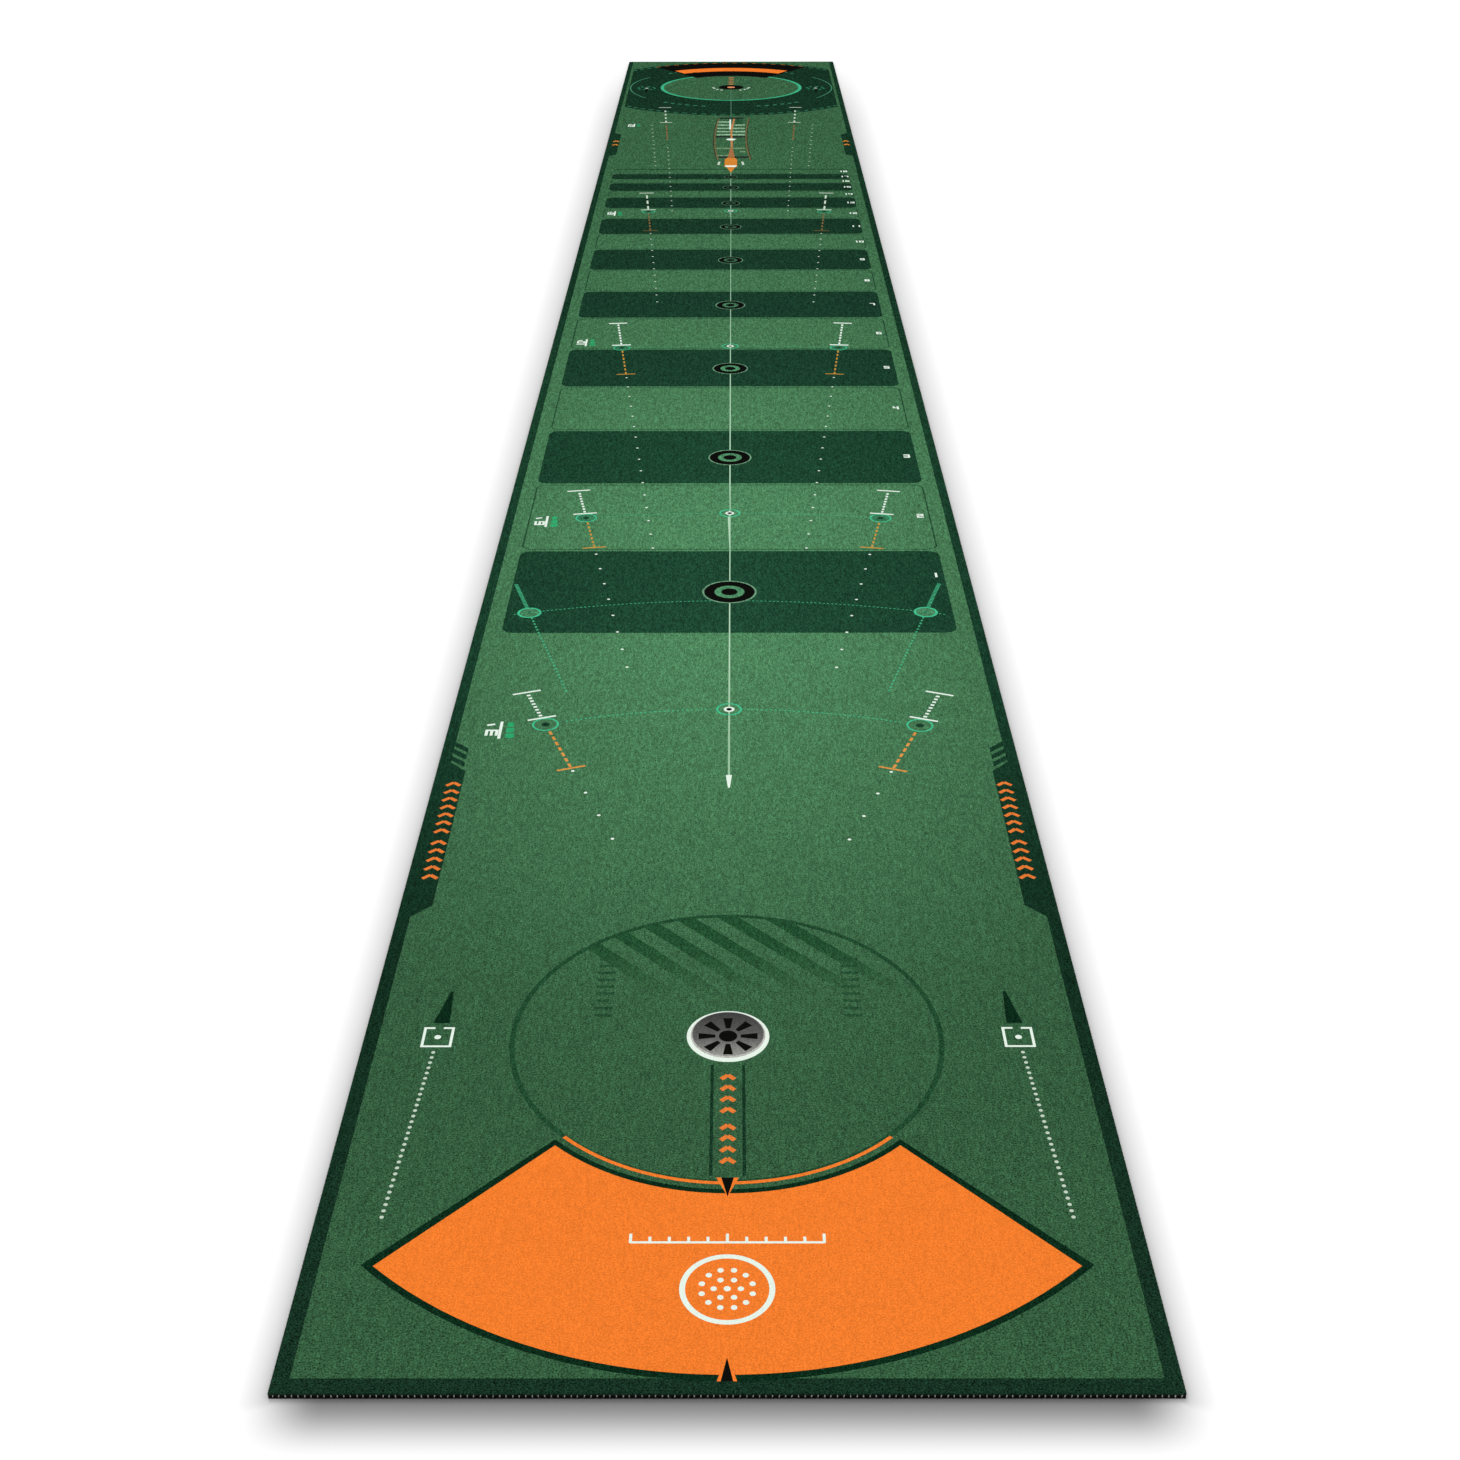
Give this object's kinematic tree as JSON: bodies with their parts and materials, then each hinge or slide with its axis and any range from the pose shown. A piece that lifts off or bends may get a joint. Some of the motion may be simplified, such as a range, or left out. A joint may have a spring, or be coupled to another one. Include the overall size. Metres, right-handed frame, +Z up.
{
  "type": "practice putting mat",
  "caption": "Long rubber-backed pile mat for putting practice, with a dyed layout of holes, distance arcs, bands and aiming marks, oversewn on all edges.",
  "frame": {"origin": "on the underside of the rubber, at the middle of the mat's length and width", "axes": "+Z up out of the pile, +Y along the mat from the end with the slotted near hole to the end with the far hole, +X to the right when looking along +Y"},
  "size_m": [0.95, 8, 0.008],
  "materials": {
    "rubber": "matt foamed rubber with a fine waffle underside",
    "latex": "matt dried latex",
    "backing_cloth": "plain woven cloth, seen at the cut edges only",
    "pile_green": "short sheared pile, dyed mid green",
    "pile_dark_green": "short sheared pile, dyed dark green",
    "pile_orange": "short sheared pile, dyed orange",
    "pile_white": "short sheared pile, left white",
    "pile_mint": "short sheared pile, dyed mint green",
    "pile_black": "short sheared pile, dyed black",
    "pile_grey": "short sheared pile, dyed grey",
    "thread": "twisted polyester thread, light grey"
  },
  "bodies": {
    "root": {"rubber_backing": "rubber", "latex_coat": "latex", "backing_cloth": "backing_cloth", "printed_pile": "pile_green", "near_edge_thread": "thread", "far_edge_thread": "thread", "left_edge_thread": "thread", "right_edge_thread": "thread"}
  },
  "joints": []
}
